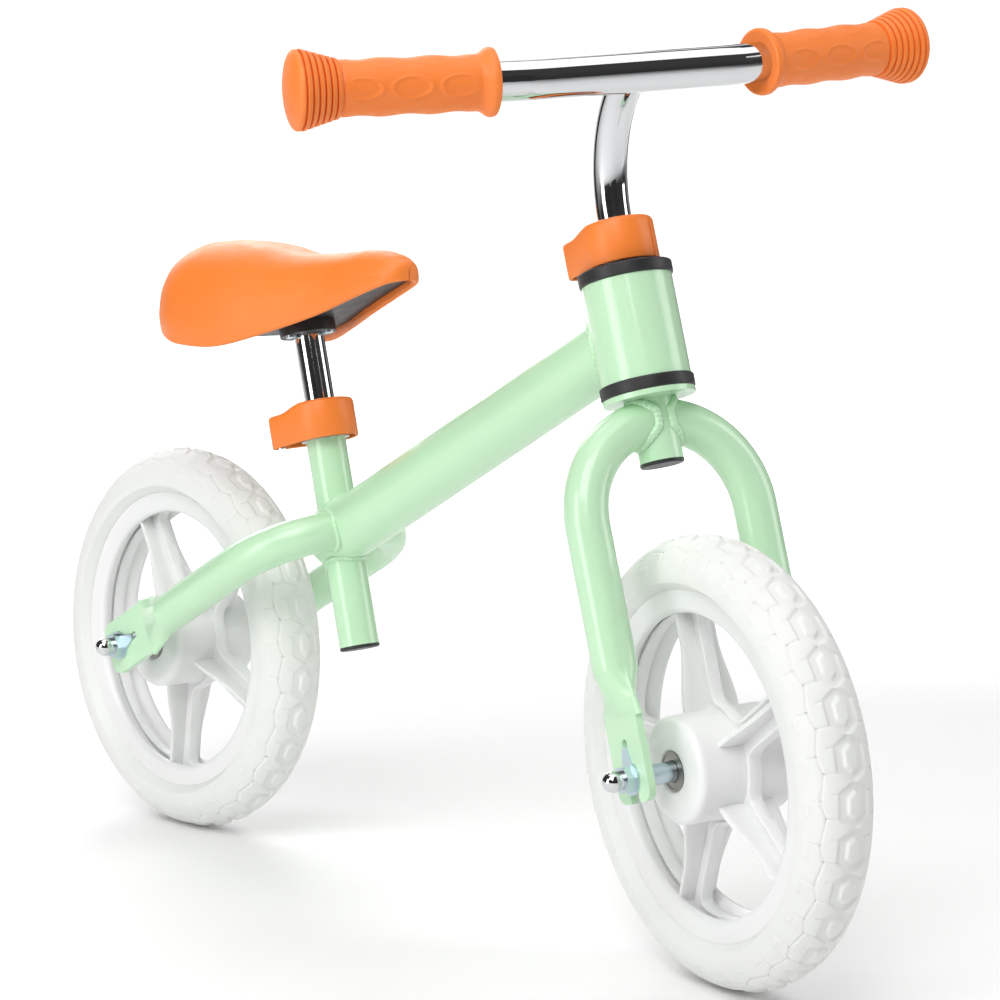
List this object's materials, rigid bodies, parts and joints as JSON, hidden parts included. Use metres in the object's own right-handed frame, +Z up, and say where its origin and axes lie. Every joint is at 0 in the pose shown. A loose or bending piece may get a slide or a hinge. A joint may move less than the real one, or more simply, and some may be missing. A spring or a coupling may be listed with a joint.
{
  "type": "balance bike",
  "caption": "Child's push-along balance bike with steel frame, foam-tyred wheels, turning fork, and saddle and handlebar that slide and lock with lever clamps.",
  "frame": {"origin": "where the rear tyre touches the ground, on the frame's middle plane", "axes": "+X forward along the frame, +Y to the rider's left, +Z up"},
  "size_m": [0.861, 0.4343, 0.6197],
  "materials": {
    "mint_paint": "gloss powder coat over steel tube",
    "black_plastic": "satin moulded plastic",
    "orange_plastic": "satin moulded plastic",
    "orange_rubber": "soft matte grip rubber",
    "orange_saddle_skin": "soft integral foam skin",
    "band_alloy": "bead-blasted alloy",
    "chrome": "bright chrome plate",
    "shim_plastic": "plain nylon",
    "zinc_steel": "bright blue-white zinc plate",
    "bearing_steel": "ground bearing steel",
    "white_foam": "closed-cell white foam",
    "white_plastic": "semi-gloss white nylon"
  },
  "bodies": {
    "frame": {"main_tube": "mint_paint", "head_tube": "mint_paint", "seat_tube": "mint_paint", "left_stay": "mint_paint", "right_stay": "mint_paint", "seat_tube_cap": "black_plastic", "upper_headset_bush": "black_plastic", "lower_headset_bush": "black_plastic", "seat_clamp_band": "band_alloy", "seat_clamp_bolt": "zinc_steel", "seat_clamp_cover": "orange_plastic", "seat_clamp_pin": "zinc_steel", "rear_axle_rod": "zinc_steel", "rear_hub_spacer": "zinc_steel", "rear_bearing_inner_rings": "bearing_steel", "rear_bearing_balls": "bearing_steel", "rear_axle_sleeves": "zinc_steel", "rear_safety_washers": "zinc_steel", "rear_hex_nuts": "zinc_steel", "rear_acorn_nuts": "chrome"},
    "rear_wheel": {"rear_tyre": "white_foam", "rear_rim": "white_plastic", "rear_spoked_hub": "white_plastic", "rear_bearing_outer_rings": "bearing_steel", "rear_bearing_shields": "bearing_steel"},
    "fork": {"steerer_tube": "mint_paint", "left_fork_leg": "mint_paint", "right_fork_leg": "mint_paint", "crown_disc": "mint_paint", "steerer_cap": "black_plastic", "head_clamp_band": "band_alloy", "head_clamp_bolt": "zinc_steel", "head_clamp_cover": "orange_plastic", "head_clamp_pin": "zinc_steel", "front_axle_rod": "zinc_steel", "front_hub_spacer": "zinc_steel", "front_bearing_inner_rings": "bearing_steel", "front_bearing_balls": "bearing_steel", "front_axle_sleeves": "zinc_steel", "front_safety_washers": "zinc_steel", "front_hex_nuts": "zinc_steel", "front_acorn_nuts": "chrome"},
    "front_wheel": {"front_tyre": "white_foam", "front_rim": "white_plastic", "front_spoked_hub": "white_plastic", "front_bearing_outer_rings": "bearing_steel", "front_bearing_shields": "bearing_steel"},
    "stem_sleeve": {"stem_shim": "shim_plastic"},
    "handlebar": {"stem": "chrome", "crossbar": "chrome", "left_grip": "orange_rubber", "right_grip": "orange_rubber"},
    "post_sleeve": {"seat_post_shim": "shim_plastic"},
    "saddle": {"seat_post": "chrome", "saddle_cover": "orange_saddle_skin", "saddle_base": "black_plastic", "saddle_screws": "zinc_steel"},
    "seat_clamp_handle": {"seat_clamp_lever": "orange_plastic"},
    "head_clamp_handle": {"head_clamp_lever": "orange_plastic"}
  },
  "joints": [
    {"name": "steering", "type": "hinge", "parent": "frame", "child": "fork", "pos_m": [0.4865, 0, 0.41025], "axis": [-0.3113, 0, 0.9503], "continuous": true},
    {"name": "front_wheel_spin", "type": "hinge", "parent": "fork", "child": "front_wheel", "pos_m": [0.5734, 0, 0.145], "axis": [0.1992, 0.9778, 0.0653], "continuous": true},
    {"name": "rear_wheel_spin", "type": "hinge", "parent": "frame", "child": "rear_wheel", "pos_m": [0, 0, 0.145], "axis": [0, 1, 0], "continuous": true},
    {"name": "handlebar_swivel", "type": "hinge", "parent": "fork", "child": "stem_sleeve", "pos_m": [0.46925, 0, 0.46289], "axis": [-0.3113, 0, 0.9503], "continuous": true},
    {"name": "handlebar_height", "type": "slide", "parent": "stem_sleeve", "child": "handlebar", "axis": [-0.3113, 0, 0.9503], "range_m": [0, 0.06]},
    {"name": "saddle_swivel", "type": "hinge", "parent": "frame", "child": "post_sleeve", "pos_m": [0.1613, 0, 0.32249], "axis": [-0.279, 0, 0.9603], "continuous": true},
    {"name": "saddle_height", "type": "slide", "parent": "post_sleeve", "child": "saddle", "axis": [-0.279, 0, 0.9603], "range_m": [-0.044, 0.05]},
    {"name": "seat_clamp_lever_swing", "type": "hinge", "parent": "frame", "child": "seat_clamp_handle", "pos_m": [0.13605, -0.0191, 0.31516], "axis": [0.279, 0, -0.9603], "range_deg": [0, 90]},
    {"name": "head_clamp_lever_swing", "type": "hinge", "parent": "fork", "child": "head_clamp_handle", "pos_m": [0.43988, -0.01004, 0.45327], "axis": [0.3113, 0, -0.9503], "range_deg": [0, 90]}
  ]
}
